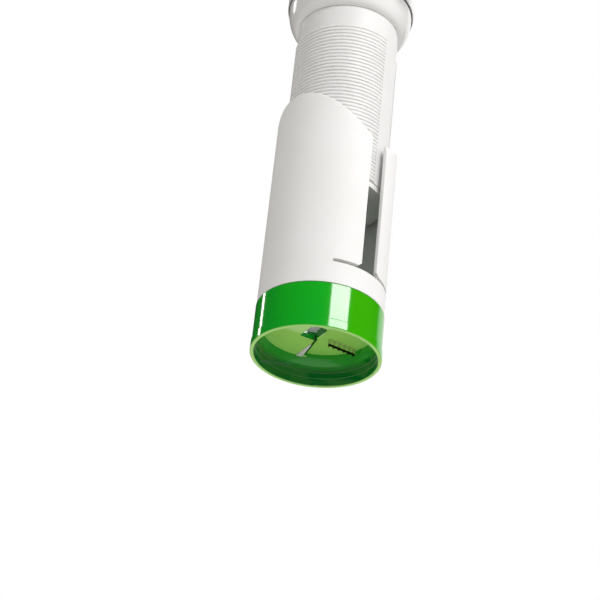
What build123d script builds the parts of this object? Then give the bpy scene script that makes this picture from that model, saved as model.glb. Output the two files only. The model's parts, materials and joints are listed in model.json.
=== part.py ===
from build123d import *
from math import acos, atan, cos, degrees, radians, sin, sqrt
import os

# Hand cranked spiralizer, in millimetres.  It stands on the rim of its blade cap: the origin is
# the middle of that rim, +Z is up the plunger, -Y is the front and azimuths turn from -Y to +X.

# Fits
fixed_fit = 0.05  # round pieces that stay put in their holes
turning_fit = 0.08  # round pieces that turn on a pin or a neck
hand_fit = 0.2  # pieces that slide or pull apart by hand
cut_over = 1.0  # how far a cutting tool runs past the face it opens

# Blade cap
cap_radius = 35.0
cap_height = 26.5
rim_lip = 0.4  # how far the foot band stands proud of the cap
rim_band_height = 5.2
rim_wall = 2.2
rim_rounding = 0.6
ledge_step = 0.4  # each of the two ledges inside the mouth
ledge_low = 4.5
ledge_high = 8.0
spigot_height = 5.0  # the collar that pushes up into the sleeve
spigot_wall = 2.2
key_count = 3
key_width = 6.0
key_height = 4.0
key_depth = 1.0

# Cutting plate inside the cap
taper_start = 11.5  # where the mouth begins to narrow towards the plate
taper_inset = 1.7
plate_bottom = 15.9
plate_thickness = 2.6
window_azimuth = 254.7
window_inner = 5.0  # the core window, past the axis
window_outer = 9.9
window_low = 3.4
window_high = 5.5
blade_azimuth = 243.2
mouth_start = 8.0  # along the blade, from the axis
mouth_end = 29.0
mouth_width = 2.6
mouth_offset = 1.5  # the mouth's near jaw, across the blade line
step_wall = 2.5
steel_thickness = 0.8
blade_overhang = 1.4
blade_length = 20.0
blade_width = 6.0
edge_bevel = 1.1
lip_start = 15.0  # the steel lip widens from here to the wall
lip_end = 30.0
lip_inner_width = 0.6
lip_outer_width = 3.4
lip_pegs = [22.0, 27.5]  # along the blade
lip_peg_radius = 0.6
lip_peg_height = 1.8
blade_screw_radius = 1.1
blade_screw_head = 2.1
blade_screw_head_height = 1.0
blade_screw_length = 2.2
comb_azimuth = 166.7
comb_offset = 6.8  # the comb's line passes the axis at this distance
comb_start = 11.4
comb_teeth = 6
comb_pitch = 3.2
tooth_width = 1.1
tooth_drop = 4.6  # how far the teeth's feet hang below the plate
bar_drop = 2.7  # the bar that ties the feet, below the plate
bar_height = 1.1

# Sleeve with its two press shells
sleeve_radius = 34.65
sleeve_wall = 2.65
sleeve_gap = 0.7  # shadow line between cap and sleeve
shoulder_height = 40.3  # top of the base ring
ledge_thickness = 2.0
ledge_reach = 1.8
slot_angle = 19.5  # the opening between the two shells, on each side
arch_spring = 118.3  # where the front shell's round top begins
rear_top = 132.0
rear_corner = 11.0
slit_height = 1.9
slit_angle = 26.6
slit_chamfer = 2.0
shell_rounding = 0.7

# Screw thread shared by the plunger and the two shells
thread_pitch = 2.4
tube_radius = 29.3  # the collar, the two plain bands and the grooves' floors
crest_radius = 29.9
groove_mouth = 1.3
groove_floor = 0.6
thread_sector = 138.0
thread_middle = 24.7  # azimuth of the front threaded sector
ridge_tip_radius = 30.7
ridge_tip = 0.32
ridge_base = 1.5
ridge_turns = 7
ridge_sector = 76.0
ridge_middle_height = 117.0
ridge_rise = 0.12  # how far a ridge rises when its shell is pressed in

# Plunger
tube_bottom = 102.0
first_groove_drop = 0.46  # the lowest groove's middle, below the tube's end
thread_top = 201.3
shoulder_top = 216.0  # where the head ring sits
tube_bore = 26.0
tube_floor = 2.5
floor_recess = 2.0
neck_radius = 25.0
neck_wall = 3.5
neck_top = 231.8
boss_radius = 3.6
boss_circle = 18.4
boss_height = 12.0
boss_count = 3

# Head ring
head_rim_radius = 36.4
head_top = 231.0
head_drop = 0.2  # running gap over the shoulder
head_wall = 2.4
washer_thickness = 0.5
washer_width = 5.6

# Crank
disc_radius = 37.4
disc_thickness = 7.6
disc_rounding = 2.4
disc_relief_outer = 34.8
disc_relief_inner = 31.2
disc_relief_depth = 4.6
disc_spigot_height = 4.0
disc_spigot_wall = 2.4
disc_screw_radius = 1.4
disc_screw_head = 3.0
disc_screw_head_height = 1.8
disc_screw_length = 12.0
arm_reach = 58.0
arm_thickness = 7.0
arm_hub_radius = 15.0
arm_end_radius = 9.0
arm_rounding = 1.6
hub_rise = 2.6
hub_screw_radius = 2.0
hub_screw_head = 3.9
hub_screw_head_height = 2.6
hub_screw_length = 15.0
hub_washer_radius = 5.6
hub_washer_thickness = 0.8
plug_radius = 8.0
plug_thickness = 2.0
plug_rise = 0.5  # how far the plug stands proud of the hub
plug_rounding = 0.4

# Knob
pin_radius = 3.0
pin_flange_radius = 5.0
pin_flange_height = 1.2
knob_height = 34.0
knob_foot_radius = 9.5
knob_waist_radius = 8.2
knob_waist_height = 9.5
knob_belly_radius = 12.0
knob_belly_height = 25.2
knob_brow_radius = 7.4
knob_seat = 0.3
knob_cap_radius = 6.4
knob_cap_height = 2.4
knob_cap_rounding = 0.5
knob_cap_seat = 1.0  # the ledge that the cap lies on
clip_radius = 5.0
clip_thickness = 0.8
clip_groove = 0.6
clip_opening = 3.4

# Food holder
holder_radius = 29.0
holder_thickness = 3.3
holder_gap = 0.5
holder_hub_radius = 20.0
holder_screw_radius = 2.0
holder_screw_head = 3.6
holder_screw_head_height = 2.4
holder_screw_length = 5.6
prong_rings = [(9.0, 3), (20.0, 6)]  # circle radius, count
prong_radius = 1.1
prong_length = 11.0
prong_root = 1.8
spike_radius = 1.8
spike_length = 13.0
prong_point = 2.6

# Worked out from the sizes above
sleeve_inner = sleeve_radius - sleeve_wall
spigot_top = cap_height + spigot_height
spigot_radius = sleeve_inner - hand_fit
spigot_inner = spigot_radius - spigot_wall
rim_inner = cap_radius + rim_lip - rim_wall
step_height = thread_pitch  # the plate drops by one ribbon thickness
low_top = plate_bottom + plate_thickness
high_bottom = plate_bottom + step_height
high_top = high_bottom + plate_thickness
chamber_inner = rim_inner - 2 * ledge_step
plate_inner = chamber_inner - taper_inset
comb_end = comb_start + (comb_teeth - 1) * comb_pitch + tooth_width
half_shell = 90 - slot_angle / 2
arch_radius = sleeve_radius * sin(radians(half_shell))
first_groove = tube_bottom - first_groove_drop
neck_bore = neck_radius - neck_wall
disc_top = neck_top + disc_thickness
arm_top = disc_top + arm_thickness
hub_top = arm_top + hub_rise
knob_bottom = arm_top + pin_flange_height + knob_seat
knob_top = knob_bottom + knob_height
holder_top = tube_bottom - holder_gap
holder_bottom = holder_top - holder_thickness
floor_bottom = tube_bottom + floor_recess
floor_top = floor_bottom + tube_floor


def turned(outline, middle=0.0, sweep=360.0):
    """An (r, z) outline turned about +Z; a part turn is centred on the azimuth middle."""
    profile = make_face(Polyline(*[(r, 0, z) for r, z in outline], close=True))
    return Rot(Z=middle - sweep / 2 - 90) * revolve(profile, Axis.Z, revolution_arc=sweep)


def ring(outer, inner, bottom, top, middle=0.0, sweep=360.0):
    """A plain ring, or a part of one."""
    outline = [(inner, bottom), (outer, bottom), (outer, top), (inner, top)]
    return turned(outline, middle, sweep)


def disc(radius, bottom, top, x=0.0, y=0.0):
    """A round bar along +Z."""
    low = (Align.CENTER, Align.CENTER, Align.MIN)
    return Pos(x, y, bottom) * Cylinder(radius, top - bottom, align=low)


def block(x_span, y_span, z_span):
    """A box from three (low, high) spans."""
    size = [high - low for low, high in (x_span, y_span, z_span)]
    corner = (Align.MIN, Align.MIN, Align.MIN)
    return Pos(x_span[0], y_span[0], z_span[0]) * Box(*size, align=corner)


def spot(radius, azimuth):
    """The x and y of a point at this radius and azimuth."""
    return radius * sin(radians(azimuth)), -radius * cos(radians(azimuth))


def aimed(azimuth):
    """Turns a piece drawn along +X to this azimuth."""
    return Rot(Z=azimuth - 90)


def screw(x, y, seat, head_radius, head_height, shank_radius, length):
    """A screw whose head stands on the plane z = seat, its shank below."""
    slot_width = head_radius / 3
    slot = (seat + head_height / 2, seat + head_height + cut_over)
    cross = block((-head_radius / 2, head_radius / 2), (-slot_width / 2, slot_width / 2), slot)
    body = disc(head_radius, seat, seat + head_height) + disc(shank_radius, seat - length, seat)
    return Pos(x, y) * (body - cross - Rot(Z=90) * cross)


# ---------------------------------------------------------------- thread


def screw_row(outline, middle, sweep, z):
    """A row of the screw at height z: an outline turned over part of a circle and leant to its rise."""
    rise = thread_pitch * sweep / 720
    lean = degrees(atan(rise / (crest_radius * sin(radians(sweep / 2)))))
    row = turned(outline, 90.0, sweep)
    return aimed(middle) * (Pos(0, 0, z) * Rot(X=lean) * Pos(0, 0, -z) * row)


def grooves(middle):
    """The screw grooves of one threaded sector."""
    half_mouth, half_floor = groove_mouth / 2, groove_floor / 2
    flare = (half_mouth - half_floor) * cut_over / (crest_radius - tube_radius)
    tools = []
    z = first_groove + thread_pitch * (middle - thread_middle) / 360
    while z + half_mouth < thread_top:
        outline = [
            (tube_radius, z - half_floor),
            (crest_radius + cut_over, z - half_mouth - flare),
            (crest_radius + cut_over, z + half_mouth + flare),
            (tube_radius, z + half_floor),
        ]
        tools.append(screw_row(outline, middle, thread_sector, z))
        z += thread_pitch
    return tools


# ---------------------------------------------------------------- cap and cutters


def plate_cutters():
    """What the plate is cut through by: the core window, the ribbon mouth and the comb slot."""
    z_span = (plate_bottom - cut_over, high_top + cut_over)
    window = block((-window_inner, window_outer), (-window_low, window_high), z_span)
    mouth = block((mouth_start, mouth_end), (-mouth_offset - mouth_width, -mouth_offset), z_span)
    half = steel_thickness / 2 + fixed_fit
    slot = block(
        (comb_start - fixed_fit, comb_end + fixed_fit), (comb_offset - half, comb_offset + half), z_span
    )
    return aimed(window_azimuth) * window + aimed(blade_azimuth) * mouth + aimed(comb_azimuth) * slot


def blade_cap():
    """Green cap: foot band, two ledges, stepped cutting plate and the spigot above."""
    outline = [
        (0, plate_bottom),
        (plate_inner, plate_bottom),
        (chamber_inner, taper_start),
        (chamber_inner, ledge_high),
        (rim_inner - ledge_step, ledge_high),
        (rim_inner - ledge_step, ledge_low),
        (rim_inner, ledge_low),
        (rim_inner, 0),
        (cap_radius + rim_lip, 0),
        (cap_radius + rim_lip, rim_band_height),
        (cap_radius, rim_band_height + rim_lip),
        (cap_radius, cap_height),
        (spigot_radius, cap_height),
        (spigot_radius, spigot_top),
        (spigot_inner, spigot_top),
        (spigot_inner, high_top),
        (0, high_top),
    ]
    body = turned(outline)
    span = 2 * cap_radius
    low_side = block((-span, span), (-mouth_offset, span), (low_top, high_top + cut_over))
    high_side = block(
        (-span, span), (-span, -mouth_offset - step_wall), (plate_bottom - cut_over, high_bottom)
    )
    body -= aimed(blade_azimuth) * low_side & disc(spigot_inner, low_top, spigot_top)
    body -= aimed(blade_azimuth) * high_side & disc(plate_inner, 0, high_bottom)
    body -= plate_cutters()
    body -= aimed(blade_azimuth) * blade_outline(fixed_fit, high_top + cut_over)
    for x, y in moved(blade_screw_spots(), blade_azimuth):
        hole_bottom = high_top - blade_screw_length - fixed_fit
        body -= disc(blade_screw_radius + fixed_fit, hole_bottom, high_top, x, y)
    for x, y in moved(lip_peg_spots(), blade_azimuth):
        hole_top = plate_bottom + lip_peg_height + fixed_fit
        body -= disc(lip_peg_radius + fixed_fit, plate_bottom - cut_over, hole_top, x, y)
    foot = body.faces().sort_by(Axis.Z)[0]
    body = fillet(foot.edges(), rim_rounding)
    for number in range(key_count):
        azimuth = number * 360 / key_count
        key = block(
            (spigot_radius - cut_over, spigot_radius + key_depth),
            (-key_width / 2, key_width / 2),
            (cap_height, cap_height + key_height),
        )
        body += aimed(azimuth) * key
    return body


def blade_outline(play, top):
    """The blade's flat blank, grown by play, from its seat up to top."""
    edge = -mouth_offset - mouth_width + blade_overhang
    return block(
        (mouth_start - play, mouth_start + blade_length + play),
        (edge - blade_width - play, edge),
        (high_top - steel_thickness, top),
    )


def blade_screw_spots():
    """The two blade screws, in the blade's own frame."""
    across = -mouth_offset - mouth_width + blade_overhang - blade_width + 2 * blade_screw_radius
    inset = 2 * blade_screw_head
    return [(mouth_start + inset, across), (mouth_start + blade_length - inset, across)]


def lip_width(along):
    """How wide the steel lip is at this place along the blade."""
    share = (along - lip_start) / (lip_end - lip_start)
    return lip_inner_width + share * (lip_outer_width - lip_inner_width)


def lip_peg_spots():
    """The lip's two pegs, in the blade's own frame."""
    return [(along, lip_width(along) / 2 - mouth_offset) for along in lip_pegs]


def moved(spots, azimuth):
    """Spots drawn along +X, turned to this azimuth."""
    turn = radians(azimuth - 90)
    return [(x * cos(turn) - y * sin(turn), x * sin(turn) + y * cos(turn)) for x, y in spots]


def slicing_blade():
    """Flat steel blade let into the plate's high half, its ground edge over the mouth."""
    blade = blade_outline(0, high_top)
    edge = -mouth_offset - mouth_width + blade_overhang
    bevel = Polyline(
        (0, edge - edge_bevel, high_top - steel_thickness),
        (0, edge, high_top - steel_thickness),
        (0, edge, high_top - steel_thickness / 8),
        close=True,
    )
    blade -= extrude(make_face(bevel), amount=2 * cap_radius, both=True)
    for x, y in blade_screw_spots():
        blade -= disc(blade_screw_radius + fixed_fit, 0, cap_height, x, y)
    return aimed(blade_azimuth) * blade


def mouth_lip():
    """Steel wedge under the plate's low half, beside the mouth, with two pegs pressed up into it."""
    outline = Polyline(
        (lip_start, -mouth_offset),
        (lip_end, -mouth_offset),
        (lip_end, lip_width(lip_end) - mouth_offset),
        (lip_start, lip_width(lip_start) - mouth_offset),
        close=True,
    )
    lip = Pos(0, 0, plate_bottom - steel_thickness) * extrude(make_face(outline), amount=steel_thickness)
    for x, y in lip_peg_spots():
        lip += disc(lip_peg_radius, plate_bottom - steel_thickness / 2, plate_bottom + lip_peg_height, x, y)
    return aimed(blade_azimuth) * lip


def julienne_comb():
    """Steel comb pressed into the plate: sharp teeth above it, and feet tied by a bar below it."""
    half = steel_thickness / 2
    teeth_top = high_top + step_height
    foot = high_bottom - tooth_drop
    bar_top = high_bottom - bar_drop
    length, across = (comb_start, comb_end), (-half, half)
    comb = block(length, across, (high_bottom, high_top))
    comb += block(length, across, (bar_top - bar_height, bar_top))
    for number in range(comb_teeth):
        start = comb_start + number * comb_pitch
        tooth = Polyline(
            (start, 0, foot),
            (start + tooth_width, 0, foot + tooth_width / 2),
            (start + tooth_width, 0, teeth_top - tooth_width),
            (start, 0, teeth_top),
            close=True,
        )
        comb += extrude(make_face(tooth), amount=half, both=True)
    return aimed(comb_azimuth) * Pos(0, comb_offset, 0) * comb


def plate_screws():
    """The two small screws that hold the blade on the plate."""
    sizes = (blade_screw_head, blade_screw_head_height, blade_screw_radius, blade_screw_length)
    return [screw(x, y, high_top, *sizes) for x, y in moved(blade_screw_spots(), blade_azimuth)]


# ---------------------------------------------------------------- sleeve


def sleeve_base():
    """White ring over the cap, with the inner ledge that stands on the spigot."""
    bottom = cap_height + sleeve_gap
    outline = [
        (sleeve_inner, bottom),
        (sleeve_radius, bottom),
        (sleeve_radius, shoulder_height),
        (sleeve_inner, shoulder_height),
        (sleeve_inner, spigot_top + ledge_thickness + ledge_reach),
        (sleeve_inner - ledge_reach, spigot_top + ledge_thickness),
        (sleeve_inner - ledge_reach, spigot_top),
        (sleeve_inner, spigot_top),
    ]
    body = turned(outline)
    for number in range(key_count):
        azimuth = number * 360 / key_count
        keyway = block(
            (sleeve_inner - cut_over / 2, spigot_radius + key_depth + hand_fit),
            (-key_width / 2 - hand_fit, key_width / 2 + hand_fit),
            (bottom - cut_over, cap_height + key_height + hand_fit),
        )
        body -= aimed(azimuth) * keyway
    return body


def shell_blank(top):
    """One half shell before its top is shaped, drawn about the front azimuth."""
    return ring(sleeve_radius, sleeve_inner, shoulder_height, top, 0.0, 2 * half_shell)


def corner_slits():
    """The flex slits at both lower corners of a shell, with their round ends and chamfers."""
    slit_top = shoulder_height + slit_height
    tools = []
    for side in (-1, 1):
        edge, root = side * half_shell, side * (half_shell - slit_angle)
        outer, inner = sleeve_radius + cut_over, sleeve_inner - cut_over
        middle = (edge + root) / 2 + side * cut_over
        sweep = slit_angle + 2 * cut_over
        tools.append(ring(outer, inner, shoulder_height - cut_over, slit_top, middle, sweep))
        reach = 2 * (outer - inner)
        through = Pos(sleeve_radius, 0, slit_top - slit_height / 2) * Rot(Y=90)
        tools.append(aimed(root) * through * Cylinder(slit_height / 2, reach))
        corner = slit_chamfer * sqrt(2)
        nick = Pos(sleeve_radius, 0, slit_top) * Rot(X=45) * Box(reach, corner, corner)
        tools.append(aimed(edge) * nick)
    return tools


def softened(shell):
    """A shell with its free edges rounded: both slot edges and the top, inside and out."""
    upright = shell.faces().filter_by(GeomType.CYLINDER).sort_by(SortBy.AREA)[-2:]
    edges = [edge for face in upright for edge in face.edges()]
    free = [edge for edge in edges if edge.center().Z > shoulder_height + slit_height]
    return fillet(free, shell_rounding)


def ridge_height(azimuth):
    """The height of the lowest ridge, in step with the thread's grooves at this azimuth."""
    turn = thread_pitch * (azimuth - thread_middle) / 360
    lowest = ridge_middle_height - (ridge_turns - 1) / 2 * thread_pitch
    rows_up = round((lowest - first_groove - turn) / thread_pitch)
    return first_groove + turn + rows_up * thread_pitch - ridge_rise


def ridges(azimuth):
    """The short screw ridges inside the shell that stands at this azimuth, drawn about the front."""
    root = sleeve_inner + sleeve_wall / 4
    rows = []
    for number in range(ridge_turns):
        z = ridge_height(azimuth) + number * thread_pitch
        outline = [
            (ridge_tip_radius, z - ridge_tip / 2),
            (root, z - ridge_base / 2),
            (root, z + ridge_base / 2),
            (ridge_tip_radius, z + ridge_tip / 2),
        ]
        rows.append(screw_row(outline, 0.0, ridge_sector, z))
    return rows


def front_shell():
    """Tall front shell with the round top that the thumb presses."""
    top = arch_spring + arch_radius
    shell = shell_blank(top)
    span = (-2 * sleeve_radius, 0)
    below = block((-arch_radius, arch_radius), span, (0, arch_spring))
    arch = Pos(0, -sleeve_radius, arch_spring) * Rot(X=90) * Cylinder(arch_radius, 2 * sleeve_radius)
    shell = softened(shell & (below + arch)) - corner_slits()
    return shell + ridges(0.0)


def rear_shell():
    """Lower rear shell with a flat top and round corners."""
    shell = shell_blank(rear_top)
    face = Plane.XZ * Pos(0, rear_top / 2) * RectangleRounded(2 * arch_radius, rear_top, rear_corner)
    shell = softened(shell & extrude(face, amount=2 * sleeve_radius)) - corner_slits()
    return Rot(Z=180) * (shell + ridges(180.0))


# ---------------------------------------------------------------- plunger


def thread_tube():
    """Threaded tube with two plain bands, its floor, shoulder, neck and screw bosses."""
    outline = [
        (tube_bore, tube_bottom),
        (crest_radius, tube_bottom),
        (crest_radius, thread_top),
        (tube_radius, thread_top),
        (tube_radius, shoulder_top),
        (neck_radius, shoulder_top),
        (neck_radius, neck_top),
        (neck_bore, neck_top),
        (neck_bore, shoulder_top - neck_wall),
        (tube_bore, shoulder_top - 2 * neck_wall),
        (tube_bore, floor_top),
        (0, floor_top),
        (0, floor_bottom),
        (tube_bore, floor_bottom),
    ]
    core = turned(outline)
    for middle in (thread_middle, thread_middle + 180):
        band = ring(crest_radius + cut_over, tube_radius, 0, thread_top, middle + 90, 180 - thread_sector)
        core -= [band] + grooves(middle)
    for number in range(boss_count):
        x, y = spot(boss_circle, number * 360 / boss_count)
        core += disc(boss_radius, neck_top - boss_height, neck_top, x, y)
        bore_bottom = neck_top - boss_height - cut_over
        core -= disc(disc_screw_radius + fixed_fit, bore_bottom, neck_top + cut_over, x, y)
    core -= disc(holder_screw_radius + fixed_fit, floor_bottom - cut_over, floor_top + cut_over)
    return core


def bell_section(wall, inner, bottom):
    """The head ring's bell section, its outer curve drawn in by wall and its bore at inner."""
    flare = head_rim_radius - tube_radius - wall
    height = head_top - shoulder_top - head_drop - wall
    with BuildSketch(Plane.XZ) as section:
        with BuildLine():
            bell = EllipticalCenterArc((tube_radius, head_top), flare, height, 270, arc_size=90)
            Line(bell @ 1, (inner, head_top))
            Line((inner, head_top), (inner, bottom))
            Line((inner, bottom), bell @ 0)
        make_face()
    return revolve(section.sketch, Axis.Z)


def head_ring():
    """Bell shaped ring that turns freely on the neck and guards the hand, hollow from above."""
    bottom = shoulder_top + head_drop
    inner = neck_radius + turning_fit
    return bell_section(0, inner, bottom) - bell_section(head_wall, inner + head_wall, bottom + head_wall)


def slip_washer():
    """Thin dark washer between the head ring and the crank disc."""
    inner = neck_radius + hand_fit
    return ring(inner + washer_width, inner, head_top, head_top + washer_thickness)


def disc_screw_seat():
    """The plane under the disc screws' heads."""
    return disc_top - disc_screw_head_height


def crank_disc():
    """Round cover with the spigot that centres it in the neck."""
    body = disc(disc_radius, neck_top, disc_top)
    body = fillet(body.edges().filter_by(GeomType.CIRCLE).sort_by(Axis.Z)[-1:], disc_rounding)
    spigot_outer = boss_circle - boss_radius - hand_fit
    spigot_bore = spigot_outer - disc_spigot_wall
    body += ring(spigot_outer, spigot_bore, neck_top - disc_spigot_height, neck_top)
    for number in range(boss_count):
        x, y = spot(boss_circle, number * 360 / boss_count)
        body -= disc(disc_screw_head + hand_fit, disc_screw_seat(), disc_top + cut_over, x, y)
        body -= disc(disc_screw_radius + fixed_fit, neck_top - cut_over, disc_top, x, y)
    body -= disc(hub_screw_radius + fixed_fit, neck_top - cut_over, disc_top + cut_over)
    relief_top = neck_top + disc_relief_depth
    body -= ring(disc_relief_outer, disc_relief_inner, neck_top - cut_over, relief_top)
    return body


def disc_screws():
    """The screws that hold the disc on the neck's bosses."""
    sizes = (disc_screw_head, disc_screw_head_height, disc_screw_radius, disc_screw_length)
    spots = [spot(boss_circle, number * 360 / boss_count) for number in range(boss_count)]
    return [screw(x, y, disc_screw_seat(), *sizes) for x, y in spots]


def hub_seat():
    """The plane that the hub washer lies on, at the bottom of the hub's well."""
    return arm_top - arm_thickness / 2


def crank_arm():
    """Tapered arm from the hub to the knob pin."""
    with BuildSketch(Plane.XY.offset(disc_top)) as plan:
        with BuildLine():
            lean = acos((arm_hub_radius - arm_end_radius) / arm_reach)
            hub_point = (arm_hub_radius * cos(lean), arm_hub_radius * sin(lean))
            end_point = (arm_reach + arm_end_radius * cos(lean), arm_end_radius * sin(lean))
            hub_mirror = (hub_point[0], -hub_point[1])
            end_mirror = (end_point[0], -end_point[1])
            Line(hub_point, end_point)
            ThreePointArc(end_point, (arm_reach + arm_end_radius, 0), end_mirror)
            Line(end_mirror, hub_mirror)
            ThreePointArc(hub_mirror, (-arm_hub_radius, 0), hub_point)
        make_face()
    arm = extrude(plan.sketch, amount=arm_thickness)
    arm = fillet(arm.faces().sort_by(Axis.Z)[-1].edges(), arm_rounding)
    hub = disc(arm_hub_radius - arm_rounding, arm_top - cut_over, hub_top)
    arm += fillet(hub.edges().filter_by(GeomType.CIRCLE).sort_by(Axis.Z)[-1:], arm_rounding / 2)
    arm -= disc(plug_radius + fixed_fit, hub_seat(), hub_top + cut_over)
    arm -= disc(hub_screw_radius + fixed_fit, disc_top - cut_over, hub_top)
    arm -= disc(pin_radius + fixed_fit, disc_top - cut_over, arm_top + cut_over, arm_reach)
    return arm


def hub_washer():
    """Steel washer under the hub screw's head."""
    hole = hub_screw_radius + fixed_fit
    return ring(hub_washer_radius, hole, hub_seat(), hub_seat() + hub_washer_thickness)


def hub_screw():
    """The screw that clamps the arm to the disc."""
    seat = hub_seat() + hub_washer_thickness
    sizes = (hub_screw_head, hub_screw_head_height, hub_screw_radius, hub_screw_length)
    return screw(0, 0, seat, *sizes)


def hub_plug():
    """Green plug that closes the hub's well."""
    body = disc(plug_radius, hub_top - plug_thickness, hub_top + plug_rise)
    return fillet(body.edges().filter_by(GeomType.CIRCLE).sort_by(Axis.Z)[-1:], plug_rounding)


def knob_pin():
    """Steel pin fixed in the arm's end: flange below the knob, clip groove near its top."""
    clip_bottom = pin_clip_bottom()
    outline = [
        (0, disc_top),
        (pin_radius, disc_top),
        (pin_radius, arm_top),
        (pin_flange_radius, arm_top),
        (pin_flange_radius, arm_top + pin_flange_height),
        (pin_radius, arm_top + pin_flange_height),
        (pin_radius, clip_bottom),
        (pin_radius - clip_groove, clip_bottom),
        (pin_radius - clip_groove, clip_bottom + clip_thickness + hand_fit),
        (pin_radius, clip_bottom + clip_thickness + hand_fit),
        (pin_radius, clip_bottom + 2 * clip_thickness + hand_fit),
        (0, clip_bottom + 2 * clip_thickness + hand_fit),
    ]
    return Pos(arm_reach) * turned(outline)


def pin_clip_bottom():
    """Where the clip groove starts: just above the floor of the knob's well."""
    return knob_top - knob_cap_height - 3 * clip_thickness


def pin_clip():
    """Retaining clip in the pin's groove, open on one side."""
    bottom = pin_clip_bottom() + hand_fit / 2
    inner = pin_radius - clip_groove + fixed_fit
    clip = ring(clip_radius, inner, bottom, bottom + clip_thickness)
    half_gap = clip_opening / 2
    z_span = (bottom - cut_over, bottom + clip_thickness + cut_over)
    gap = block((0, 2 * clip_radius), (-half_gap, half_gap), z_span)
    return Pos(arm_reach) * (clip - gap)


def crank_knob():
    """Green knob with a waist and a full belly, bored for the pin."""
    well_floor = pin_clip_bottom() - hand_fit
    well_radius = knob_cap_radius - knob_cap_seat
    with BuildSketch(Plane.XZ) as section:
        with BuildLine():
            foot = (knob_foot_radius, knob_bottom)
            waist = (knob_waist_radius, knob_bottom + knob_waist_height)
            belly = (knob_belly_radius, knob_bottom + knob_belly_height)
            brow = (knob_brow_radius, knob_top)
            side = Spline(foot, waist, belly, brow, tangents=[(0, 1), (-1, 0)])
            Polyline(
                side @ 1,
                (knob_cap_radius, knob_top),
                (knob_cap_radius, knob_top - knob_cap_height),
                (well_radius, knob_top - knob_cap_height),
                (well_radius, well_floor),
                (pin_radius + turning_fit, well_floor),
                (pin_radius + turning_fit, knob_bottom),
                foot,
            )
        make_face()
    return Pos(arm_reach) * revolve(section.sketch, Axis.Z)


def knob_cap():
    """Small disc that closes the knob's top."""
    radius = knob_cap_radius - fixed_fit
    body = disc(radius, knob_top - knob_cap_height, knob_top, arm_reach)
    return fillet(body.edges().filter_by(GeomType.CIRCLE).sort_by(Axis.Z)[-1:], knob_cap_rounding)


# ---------------------------------------------------------------- food holder


def prong_spots():
    """The x and y of every prong."""
    spots = []
    for circle, count in prong_rings:
        spots += [spot(circle, number * 360 / count) for number in range(count)]
    return spots


def food_holder():
    """White disc under the tube, with a raised hub and a hole for every prong."""
    outline = [
        (0, holder_bottom),
        (holder_radius, holder_bottom),
        (holder_radius, holder_top),
        (holder_hub_radius, holder_top),
        (holder_hub_radius, floor_bottom),
        (0, floor_bottom),
    ]
    body = turned(outline)
    for x, y in prong_spots():
        body -= disc(prong_radius + fixed_fit, holder_bottom - cut_over, holder_bottom + prong_root, x, y)
    body -= disc(spike_radius + fixed_fit, holder_bottom - cut_over, holder_bottom + prong_root)
    screw_end = floor_top - holder_screw_length - fixed_fit
    body -= disc(holder_screw_radius + fixed_fit, screw_end, floor_bottom + cut_over)
    return body


def pointed_pin(x, y, radius, length):
    """A round pin set in the holder, its point down."""
    tip = holder_bottom - length
    shank = disc(radius, tip + prong_point, holder_bottom + prong_root, x, y)
    point = Pos(x, y, tip + prong_point / 2) * Rot(X=180) * Cone(radius, radius / 6, prong_point)
    return shank + point


def holder_prongs():
    """The prongs that turn the food with the plunger."""
    return [pointed_pin(x, y, prong_radius, prong_length) for x, y in prong_spots()]


def centre_spike():
    """The longer pin on the axis that centres the food."""
    return pointed_pin(0, 0, spike_radius, spike_length)


def holder_screw():
    """The screw through the tube's floor into the holder."""
    sizes = (holder_screw_head, holder_screw_head_height, holder_screw_radius, holder_screw_length)
    return screw(0, 0, floor_top, *sizes)


# ---------------------------------------------------------------- output

nodes = {
    "blade_cap": blade_cap(),
    "slicing_blade": slicing_blade(),
    "mouth_lip": mouth_lip(),
    "julienne_comb": julienne_comb(),
    "plate_screws": plate_screws(),
    "sleeve_base": sleeve_base(),
    "front_shell": front_shell(),
    "rear_shell": rear_shell(),
    "thread_tube": thread_tube(),
    "food_holder": food_holder(),
    "holder_prongs": holder_prongs(),
    "centre_spike": centre_spike(),
    "holder_screw": holder_screw(),
    "head_ring": head_ring(),
    "slip_washer": slip_washer(),
    "crank_disc": crank_disc(),
    "disc_screws": disc_screws(),
    "crank_arm": crank_arm(),
    "hub_washer": hub_washer(),
    "hub_screw": hub_screw(),
    "hub_plug": hub_plug(),
    "knob_pin": knob_pin(),
    "pin_clip": pin_clip(),
    "crank_knob": crank_knob(),
    "knob_cap": knob_cap(),
}

os.makedirs("parts", exist_ok=True)
for name, shape in nodes.items():
    pieces = shape if isinstance(shape, list) else [shape]
    solids = [solid for piece in pieces for solid in piece.solids()]
    export_step(solids[0] if len(solids) == 1 else Compound(solids), f"parts/{name}.step")
    print(name, len(solids), round(sum(solid.volume for solid in solids), 1))
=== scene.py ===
import json
import math

import bpy
from mathutils import Matrix, Vector


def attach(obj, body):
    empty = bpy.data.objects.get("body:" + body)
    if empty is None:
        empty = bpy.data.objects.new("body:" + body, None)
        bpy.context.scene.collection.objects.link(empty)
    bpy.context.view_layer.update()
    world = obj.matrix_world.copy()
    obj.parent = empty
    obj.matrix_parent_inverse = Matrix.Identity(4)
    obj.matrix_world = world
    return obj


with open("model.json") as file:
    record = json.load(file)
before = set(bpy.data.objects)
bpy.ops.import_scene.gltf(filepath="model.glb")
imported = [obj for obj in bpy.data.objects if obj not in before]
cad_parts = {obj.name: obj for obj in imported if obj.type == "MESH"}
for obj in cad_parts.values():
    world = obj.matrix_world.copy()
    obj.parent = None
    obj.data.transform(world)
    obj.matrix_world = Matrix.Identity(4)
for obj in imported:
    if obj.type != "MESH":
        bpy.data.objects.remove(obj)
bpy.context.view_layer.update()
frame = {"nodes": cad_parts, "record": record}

scene = bpy.context.scene
nodes = frame["nodes"]

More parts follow.
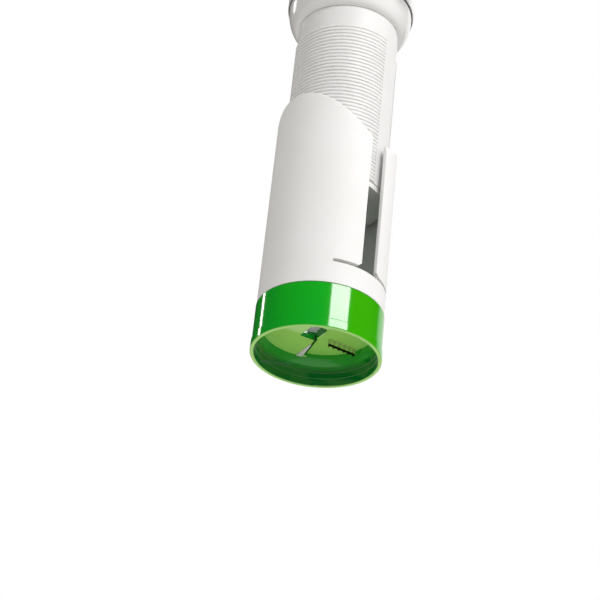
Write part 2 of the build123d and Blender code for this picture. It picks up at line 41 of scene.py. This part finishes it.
# Lengths are in metres and angles in degrees, unless a name says otherwise.

# ---------------------------------------------------------------- camera

RIGHT = Vector((0.72375, 0.68361, 0.09416))
UP = Vector((0.28321, -0.41869, 0.86284))
AHEAD = Vector((-0.62926, 0.59781, 0.49663))
EYE = Vector((0.61755, -0.60264, -0.45951))
FOCAL_PIXELS, FRAME_PIXELS = 1832.62, 600
SENSOR_MM = 36.0
CLIP_NEAR, CLIP_FAR = 0.05, 30.0
CAMERA_AZIMUTH = 45.7  # from the front of the object, -Y, towards +X


def add_camera():
    """The photograph's view: from the front and the right, and from below the cap."""
    data = bpy.data.cameras.new("main_camera")
    data.sensor_width = SENSOR_MM
    data.lens = SENSOR_MM * FOCAL_PIXELS / FRAME_PIXELS
    data.clip_start, data.clip_end = CLIP_NEAR, CLIP_FAR
    camera = bpy.data.objects.new("main_camera", data)
    turn = Matrix((RIGHT, UP, -AHEAD)).transposed().to_4x4()
    camera.matrix_world = Matrix.Translation(EYE) @ turn
    scene.collection.objects.link(camera)
    scene.camera = camera


def heading(azimuth, elevation):
    """A direction from the object: azimuth is counted from the camera's side, towards its right."""
    turn, lift = math.radians(azimuth + CAMERA_AZIMUTH), math.radians(elevation)
    across = math.cos(lift)
    return Vector((math.sin(turn) * across, -math.cos(turn) * across, math.sin(lift)))


# ---------------------------------------------------------------- node helpers

MIX_FACTOR, MIX_FIRST, MIX_SECOND, MIX_RESULT = 0, 6, 7, 2  # the Mix node's sockets for colours
EDGE_ROUNDING, EDGE_SAMPLES = 0.00025, 4


class Tree:
    """A small wrapper that adds and joins shader nodes."""

    def __init__(self, owner):
        owner.use_nodes = True
        self.tree = owner.node_tree
        self.tree.nodes.clear()

    def add(self, kind, inputs=None, **settings):
        """A new node. Its inputs are constants or the outputs of other nodes."""
        node = self.tree.nodes.new(kind)
        for name, value in settings.items():
            setattr(node, name, value)
        for name, value in (inputs or {}).items():
            self.put(node, name, value)
        return node

    def put(self, node, name, value):
        """Sets one input of a node, or joins another node's output to it."""
        if isinstance(value, bpy.types.NodeSocket):
            self.tree.links.new(value, node.inputs[name])
        else:
            node.inputs[name].default_value = value

    def place(self, stretch=(1, 1, 1)):
        """The point on the object, stretched along its axes."""
        point = self.add("ShaderNodeTexCoord").outputs["Object"]
        if tuple(stretch) == (1, 1, 1):
            return point
        return self.add("ShaderNodeMapping", {"Vector": point, "Scale": stretch}).outputs["Vector"]

    def noise(self, scale, detail=3.0, stretch=(1, 1, 1)):
        """Smooth noise between 0 and 1, with so many cells in a metre."""
        inputs = {"Vector": self.place(stretch), "Scale": scale, "Detail": detail}
        return self.add("ShaderNodeTexNoise", inputs).outputs["Fac"]

    def ramp(self, value, low, high, start=0.3, end=0.7):
        """A value carried from start..end to low..high. The defaults suit noise."""
        spans = {"From Min": start, "From Max": end, "To Min": low, "To Max": high}
        return self.add("ShaderNodeMapRange", {"Value": value, **spans}).outputs["Result"]

    def fade(self, value, start, end, most=1.0, least=0.0):
        """A value carried to most at start and below it, and to least at end and above it."""
        return self.ramp(value, most, least, start, end)

    def combine(self, operation, first, second):
        node = self.add("ShaderNodeMath", {0: first, 1: second}, operation=operation)
        return node.outputs["Value"]

    def times(self, first, second):
        return self.combine("MULTIPLY", first, second)

    def larger(self, first, second):
        return self.combine("MAXIMUM", first, second)

    def dot(self, first, second):
        node = self.add("ShaderNodeVectorMath", {0: first, 1: second}, operation="DOT_PRODUCT")
        return node.outputs["Value"]

    def mix(self, factor, first, second):
        """A colour mixed from two others."""
        node = self.add("ShaderNodeMix", {MIX_FACTOR: factor}, data_type="RGBA")
        for socket, colour in ((MIX_FIRST, first), (MIX_SECOND, second)):
            if not isinstance(colour, bpy.types.NodeSocket):
                colour = (*colour, 1.0)
            self.put(node, socket, colour)
        return node.outputs[MIX_RESULT]

    def bump(self, heights):
        """One normal from (height, strength, distance) triples, laid over softly rounded edges."""
        edge = self.add("ShaderNodeBevel", {"Radius": EDGE_ROUNDING}, samples=EDGE_SAMPLES)
        normal = edge.outputs["Normal"]
        for height, strength, distance in heights:
            sizes = {"Height": height, "Strength": strength, "Distance": distance}
            normal = self.add("ShaderNodeBump", {**sizes, "Normal": normal}).outputs["Normal"]
        return normal


def principled(name, inputs, build):
    """A material with a Principled shader: inputs are its constants, build adds its patterns."""
    material = bpy.data.materials.new(name)
    tree = Tree(material)
    shader = tree.add("ShaderNodeBsdfPrincipled", inputs)
    tree.add("ShaderNodeOutputMaterial", {"Surface": shader.outputs["BSDF"]})
    for socket, value in build(tree).items():
        tree.put(shader, socket, value)
    return material


# ---------------------------------------------------------------- materials

# Noise, in cells a metre.
FLOW, SPECK, RUBBED, PEEL, SINK = 38.0, 2600.0, 95.0, 900.0, 60.0
GRINDING, DULL = 900.0, 160.0

# How strong each bump is, and how high. A plastic sets the strength of its sink marks itself.
PEEL_STRENGTH, PEEL_HEIGHT, SINK_HEIGHT = 0.25, 0.00006, 0.0006
GRINDING_STRENGTH, GRINDING_HEIGHT = 0.35, 0.00005

FLOW_STRETCH = (1, 1, 0.45)  # flow marks run up the object
BLADE_STRETCH = (6, 6, 0.4)
DUST_COLOUR, DUST_SPAN = (0.5, 0.5, 0.5), (0.55, 0.75)
PLASTIC_IOR, COAT_ROUGHNESS = 1.5, 0.06
MILKY_REACH = (0.0012, 0.0012, 0.0011)

# The pale and the deep colour of each plastic's flow marks.
GREENS = ((0.008, 0.45, 0.012), (0.003, 0.40, 0.024))
WHITES = ((0.90, 0.90, 0.90), (0.87, 0.87, 0.865))
TUBE_WHITES = ((0.82, 0.82, 0.82), (0.79, 0.79, 0.785))
DARKS = ((0.03, 0.03, 0.034), (0.02, 0.02, 0.022))
CLEAN = {"dust": 0.006, "dents": 0.04}  # what sets the shiny green pieces apart

# Painted light and shade on the clear-ish green, and where they lie on the cap.
# The first is painted light on the downward faces and the rim, the second a warmer painted lit
# side.
GREEN_PAINTED_LIGHT, GREEN_PAINTED_LIT_SIDE = (0.45, 0.92, 0.17), (0.04, 0.43, 0.0)
# Painted shade: the first on the walls inside the mouth up to the plate, the second deeper down in
# the mouth.
GREEN_PAINTED_INNER_SHADE, GREEN_SHADE = (0.001, 0.40, 0.035), (0.001, 0.19, 0.028)
MOUTH_WALL = (0.0333, 0.0339)  # the radius up to which a point counts as inside the mouth
SHADE_HEIGHT = (0.0085, 0.0125)  # the mouth is in shade below this
PLATE_HEIGHT = (0.0157, 0.0158)  # the painted inner shade reaches up to just under the cutting plate
LIT_SIDE_AZIMUTH, LIT_SIDE_REACH = 60, (0.0185, 0.03)  # where the painted lit side faces, and how far out it begins
DOWNWARD = (-0.9, -0.3)  # the normal's Z over which downward faces fade into the painted light
# How much painted light the rim gets, and how much of it is left in the painted shade.
RIM_HEIGHT, RIM_LIT, SHADE_LIT = (0.001, 0.002), 0.8, 0.2

# Comb colours: painted shadow for the bar, painted light for the posts, and where the posts begin.
COMB_PAINTED_SHADOW = ((0.006, 0.008, 0.002), (0.016, 0.018, 0.005))
COMB_PAINTED_LIGHT = ((0.56, 0.66, 0.26), (0.64, 0.74, 0.32))
COMB_BAR_TOP, COMB_ROUGHNESS, COMB_SPECULAR = (0.01545, 0.0157), (0.25, 0.4), 0.12

# The wedge's near-white colour, on a steel that is not metallic, is a painted reflection of the
# bright sweep below.
BLADE_COLOUR, WEDGE_PAINTED_REFLECTION = (0.3, 0.33, 0.31), (0.96, 0.96, 0.93)
SCREW_COLOUR = (0.62, 0.62, 0.64)


def plastic(name, pale, deep, rough, coat, dust=0.03, dents=0.12, milky=0.0, glow=None):
    """Moulded plastic: faint flow marks and dust in its colour, a fine orange peel, shallow sink
    marks and rubbed patches. milky lets light spread under the skin, and glow is a function that
    adds painted light and shade to the colour."""

    def build(tree):
        flow = tree.ramp(tree.noise(FLOW, 4.0, FLOW_STRETCH), 0.0, 1.0)
        specks = tree.ramp(tree.noise(SPECK, 2.0), 0.0, dust, *DUST_SPAN)
        colour = tree.mix(specks, tree.mix(flow, deep, pale), DUST_COLOUR)
        if glow:
            colour = glow(tree, colour)
        peel = (tree.noise(PEEL, 2.0), PEEL_STRENGTH, PEEL_HEIGHT)
        sink = (tree.noise(SINK, 2.0), dents, SINK_HEIGHT)
        return {
            "Base Color": colour,
            "Roughness": tree.ramp(tree.noise(RUBBED, 5.0), rough * 0.85, rough * 1.25),
            "Normal": tree.bump([sink, peel]),
        }

    inputs = {
        "IOR": PLASTIC_IOR,
        "Coat Weight": coat,
        "Coat Roughness": COAT_ROUGHNESS,
        "Subsurface Weight": milky,
        "Subsurface Radius": MILKY_REACH,
        "Subsurface Scale": 1.0,
    }
    return principled(name, inputs, build)


def green_painted_light_and_shade(tree, colour):
    """Clear-ish green with painted light and shade: a pale painted light on its downward faces and
    its rim, a warmer painted lit side on its outside, and painted shade on the walls inside the
    mouth."""
    facing = tree.add("ShaderNodeTexCoord").outputs["Normal"]
    normal_z = tree.add("ShaderNodeSeparateXYZ", {0: facing}).outputs["Z"]
    place = tree.add("ShaderNodeSeparateXYZ", {0: tree.place()}).outputs
    flat = tree.add("ShaderNodeCombineXYZ", {"X": place["X"], "Y": place["Y"]}).outputs["Vector"]
    radius = tree.add("ShaderNodeVectorMath", {0: flat}, operation="LENGTH").outputs["Value"]

    inside = tree.fade(radius, *MOUTH_WALL)
    outside = tree.fade(inside, 0.0, 1.0)
    # Painted shade on the walls inside the mouth: cooler up to the plate, deeper below the shade
    # height.
    shaded = tree.times(inside, tree.fade(place["Z"], *SHADE_HEIGHT))
    painted_inner_shade = tree.times(inside, tree.fade(place["Z"], *PLATE_HEIGHT))
    # A painted lit side: the outside is painted lighter and warmer towards one azimuth.
    towards_lit_side = tree.dot(flat, heading(LIT_SIDE_AZIMUTH, 0))
    warm = tree.times(tree.ramp(towards_lit_side, 0.0, 1.0, *LIT_SIDE_REACH), outside)
    # Painted light on the downward faces and the low rim, weaker where the mouth is in painted
    # shade.
    downward = tree.fade(normal_z, *DOWNWARD)
    edge = tree.times(downward, tree.fade(shaded, 0.0, 1.0, 1.0, SHADE_LIT))
    rim = tree.times(downward, tree.fade(place["Z"], *RIM_HEIGHT, RIM_LIT))

    # warm carries the painted lit side; then come the painted inner shade, the painted shade and
    # the painted light.
    colour = tree.mix(warm, colour, GREEN_PAINTED_LIT_SIDE)
    colour = tree.mix(painted_inner_shade, colour, GREEN_PAINTED_INNER_SHADE)
    colour = tree.mix(shaded, colour, GREEN_SHADE)
    return tree.mix(tree.larger(edge, rim), colour, GREEN_PAINTED_LIGHT)


def steel(name, colour, rough, stretch, metallic=1.0):
    """Ground stainless steel: grinding lines along one direction and soft dull patches."""

    def build(tree):
        lines = tree.noise(GRINDING, stretch=stretch)
        darker = [part * 0.8 for part in colour]
        return {
            "Base Color": tree.mix(tree.ramp(lines, 0.0, 1.0), darker, colour),
            "Roughness": tree.ramp(tree.noise(DULL), rough * 0.8, rough * 1.5),
            "Normal": tree.bump([(lines, GRINDING_STRENGTH, GRINDING_HEIGHT)]),
        }

    return principled(name, {"Metallic": metallic}, build)


def comb(name):
    """The comb: pale painted light on the posts, dark painted shadow on the bar and feet below."""

    def build(tree):
        height = tree.add("ShaderNodeSeparateXYZ", {0: tree.place()}).outputs["Z"]
        lines = tree.noise(GRINDING)
        tone = tree.ramp(lines, 0.0, 1.0)
        in_posts = tree.ramp(height, 0.0, 1.0, *COMB_BAR_TOP)
        # dark is the painted shadow of the bar and its feet, post the painted light on the posts.
        dark, post = tree.mix(tone, *COMB_PAINTED_SHADOW), tree.mix(tone, *COMB_PAINTED_LIGHT)
        return {
            "Base Color": tree.mix(in_posts, dark, post),
            "Roughness": tree.ramp(tree.noise(DULL), *COMB_ROUGHNESS),
            "Normal": tree.bump([(lines, GRINDING_STRENGTH, GRINDING_HEIGHT)]),
        }

    return principled(name, {"Specular IOR Level": COMB_SPECULAR}, build)


def all_looks():
    """Every material of the object, by name."""
    # Plastics: name, colours, roughness, coat, and what departs from the usual.
    plastics = [
        # The green cap's painted light and shade come from the function given as glow.
        ("green_plastic", GREENS, 0.1, 0.2, {**CLEAN, "glow": green_painted_light_and_shade}),
        ("knob_green", GREENS, 0.16, 0.4, CLEAN),
        ("sleeve_white", WHITES, 0.6, 0.0, {}),
        ("plunger_white", TUBE_WHITES, 0.42, 0.05, {"milky": 0.7}),
        ("holder_white", WHITES, 0.4, 0.1, {}),
        ("head_white", WHITES, 0.2, 0.3, {}),
        ("arm_white", WHITES, 0.24, 0.3, {}),
        ("washer_dark", DARKS, 0.5, 0.0, {}),
    ]
    made = {}
    for name, colours, rough, coat, special in plastics:
        made[name] = plastic(name, *colours, rough, coat, **special)
    made["blade_steel"] = steel("blade_steel", BLADE_COLOUR, 0.14, BLADE_STRETCH)
    # The wedge is a painted reflection: near-white and not metallic, so it looks as bright as
    # mirroring steel.
    made["wedge_steel"] = steel("wedge_steel", WEDGE_PAINTED_REFLECTION, 0.4, BLADE_STRETCH, metallic=0.0)
    made["comb_mixed"] = comb("comb_mixed")
    made["screw_steel"] = steel("screw_steel", SCREW_COLOUR, 0.3, (1, 1, 1))
    return made


looks = all_looks()
slots = {entry["node"]: entry["material_slot"] for entry in frame["record"]["subparts"]}
slots.update(mouth_lip="wedge_steel", julienne_comb="comb_mixed")
for name, node in nodes.items():
    for place in node.material_slots:
        place.material = looks[slots[name]]

# ---------------------------------------------------------------- added piece

# A dark ring that stands in for the shadow gap between the bell and the crank disc: painted shadow.
SHADOW_RING_INNER, SHADOW_RING_OUTER, SHADOW_RING_LOW, SHADOW_RING_HIGH = 0.0352, 0.0369, 0.23108, 0.23172
SHADOW_RING_ROUNDING, SHADOW_RING_CORNER_STEPS, SHADOW_RING_SEGMENTS = 0.0002, 4, 144


def shadow_ring_profile():
    """The painted-shadow ring's cut, as (radius, height) points: a box with four rounded corners.
    """
    # Each corner, and the way from it to the middle of its rounding.
    corners = [
        (SHADOW_RING_OUTER, SHADOW_RING_HIGH, -1, -1),
        (SHADOW_RING_INNER, SHADOW_RING_HIGH, 1, -1),
        (SHADOW_RING_INNER, SHADOW_RING_LOW, 1, 1),
        (SHADOW_RING_OUTER, SHADOW_RING_LOW, -1, 1),
    ]
    profile = []
    for quarter, (radius, z, outwards, upwards) in enumerate(corners):
        for step in range(SHADOW_RING_CORNER_STEPS + 1):
            turn = math.radians(90 * (quarter + step / SHADOW_RING_CORNER_STEPS))
            across = radius + SHADOW_RING_ROUNDING * (outwards + math.cos(turn))
            profile.append((across, z + SHADOW_RING_ROUNDING * (upwards + math.sin(turn))))
    return profile


def add_shadow_ring():
    """A thin dark ring of painted shadow, in the gap between the bell and the crank disc."""
    profile = shadow_ring_profile()
    count = len(profile)
    points, faces = [], []
    for number in range(SHADOW_RING_SEGMENTS):
        turn = 2 * math.pi * number / SHADOW_RING_SEGMENTS
        points += [(radius * math.cos(turn), radius * math.sin(turn), z) for radius, z in profile]
        here, after = number * count, (number + 1) % SHADOW_RING_SEGMENTS * count
        for k in range(count):
            beyond = (k + 1) % count
            faces.append((here + k, after + k, after + beyond, here + beyond))
    mesh = bpy.data.meshes.new("head_painted_shadow_ring")
    mesh.from_pydata(points, [], faces)
    mesh.shade_smooth()
    # The dark washers' material paints the shadow.
    mesh.materials.append(looks["washer_dark"])
    shadow_ring = bpy.data.objects.new("head_painted_shadow_ring", mesh)
    scene.collection.objects.link(shadow_ring)
    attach(shadow_ring, "plunger")


add_shadow_ring()

# ---------------------------------------------------------------- stage

WHITE = (1, 1, 1, 1)
FILL, FILL_BELOW, FILL_TINT = 0.48, 0.75, (1.0, 0.965, 0.925, 1)
ROOM_SHINE, SWEEP_SHINE = 0.02, 1.0
SWEEP_HEADING = (158, 29)  # the way to the sweep's middle behind the object
# Where each part of the studio begins and ends, as cosines from its middle.
FILL_SPAN, SWEEP_BEHIND_SPAN, SWEEP_BELOW_SPAN = (0.6, 0.95), (0.86, 0.93), (0.05, 0.35)

LIGHT_AIM = Vector((0, 0, 0.12))
WHITE_LIGHT, CREAM_LIGHT = (1, 1, 1), (1.0, 0.99, 0.9)
# Name, azimuth, elevation, distance, width, height, watts, tint, and whether it shows in gloss.
LIGHTS = [
    ("key_right", 33, 28.8, 1.3, 0.7, 0.28, 9.6, WHITE_LIGHT, True),
    ("wrap_right", 88, 15.0, 1.6, 0.9, 0.9, 6.0, WHITE_LIGHT, False),
    ("fill_front", -5, 15.0, 1.6, 0.9, 0.9, 2.4, WHITE_LIGHT, False),
    ("fill_back", 180, 30.0, 1.6, 0.9, 0.9, 3.5, WHITE_LIGHT, False),
    ("strip_left", -122, 28.8, 1.3, 0.12, 0.28, 1.3, CREAM_LIGHT, True),
]

FLOOR_REACH, FLOOR_COLOUR = 6.0, (0.55, 0.55, 0.545, 1)
FLOOR_GLOW, FLOOR_GLOW_STRENGTH = (1, 1, 0.99, 1), 0.45


def add_world():
    """A white studio: white to the camera, a warm even fill, and in reflections a dark room with
    a white sweep below the object and behind it on the right."""
    world = bpy.data.worlds.new("studio")
    scene.world = world
    tree = Tree(world)

    def background(colour, strength):
        node = tree.add("ShaderNodeBackground", {"Color": colour, "Strength": strength})
        return node.outputs[0]

    way = tree.add("ShaderNodeTexCoord").outputs["Generated"]
    below = tree.dot(way, (0, 0, -1))
    behind = tree.dot(way, heading(*SWEEP_HEADING))
    sweep_behind = tree.ramp(behind, ROOM_SHINE, SWEEP_SHINE, *SWEEP_BEHIND_SPAN)
    sweep_below = tree.ramp(below, ROOM_SHINE, SWEEP_SHINE, *SWEEP_BELOW_SPAN)
    seen = background(WHITE, 1.0)
    fill = background(FILL_TINT, tree.ramp(below, FILL, FILL_BELOW, *FILL_SPAN))
    mirrored = background(WHITE, tree.larger(sweep_behind, sweep_below))
    path = tree.add("ShaderNodeLightPath").outputs
    unseen = tree.add("ShaderNodeMixShader", {0: path["Is Glossy Ray"], 1: fill, 2: mirrored})
    rays = {0: path["Is Camera Ray"], 1: unseen.outputs[0], 2: seen}
    both = tree.add("ShaderNodeMixShader", rays)
    tree.add("ShaderNodeOutputWorld", {"Surface": both.outputs[0]})


def add_softbox(name, azimuth, elevation, distance, width, height, power, tint, mirrored):
    """A rectangular area light that looks at the middle of the object. One that isn't mirrored
    gives only soft light and shows in no gloss."""
    data = bpy.data.lights.new(name, "AREA")
    data.shape = "RECTANGLE"
    data.size, data.size_y = width, height
    data.energy, data.color = power, tint
    light = bpy.data.objects.new(name, data)
    light.location = LIGHT_AIM + heading(azimuth, elevation) * distance
    light.rotation_euler = (LIGHT_AIM - light.location).to_track_quat("-Z", "Y").to_euler()
    scene.collection.objects.link(light)
    light.visible_camera = False
    light.visible_glossy = mirrored


def floor_material():
    """A pale paper that glows a little, seen only from above."""
    material = bpy.data.materials.new("floor")
    tree = Tree(material)
    paper = tree.add("ShaderNodeBsdfDiffuse", {"Color": FLOOR_COLOUR})
    glow = tree.add("ShaderNodeEmission", {"Color": FLOOR_GLOW, "Strength": FLOOR_GLOW_STRENGTH})
    top = tree.add("ShaderNodeAddShader", {0: paper.outputs[0], 1: glow.outputs[0]})
    under = tree.add("ShaderNodeBsdfTransparent")
    from_below = tree.add("ShaderNodeNewGeometry").outputs["Backfacing"]
    sides = {0: from_below, 1: top.outputs[0], 2: under.outputs[0]}
    both = tree.add("ShaderNodeMixShader", sides)
    tree.add("ShaderNodeOutputMaterial", {"Surface": both.outputs[0]})
    return material


def add_floor():
    """A pale floor that the rim stands on. It is one-sided, so a camera below it looks through,
    and it neither shades nor lights the object."""
    mesh = bpy.data.meshes.new("floor")
    far = FLOOR_REACH
    corners = [(-far, -far, 0), (far, -far, 0), (far, far, 0), (-far, far, 0)]
    mesh.from_pydata(corners, [], [(0, 1, 2, 3)])
    mesh.materials.append(floor_material())
    floor = bpy.data.objects.new("floor", mesh)
    scene.collection.objects.link(floor)
    for way in ("visible_shadow", "visible_diffuse", "visible_glossy", "visible_transmission"):
        setattr(floor, way, False)


scene.view_settings.view_transform = "Standard"
add_camera()
add_world()
for light in LIGHTS:
    add_softbox(*light)
add_floor()
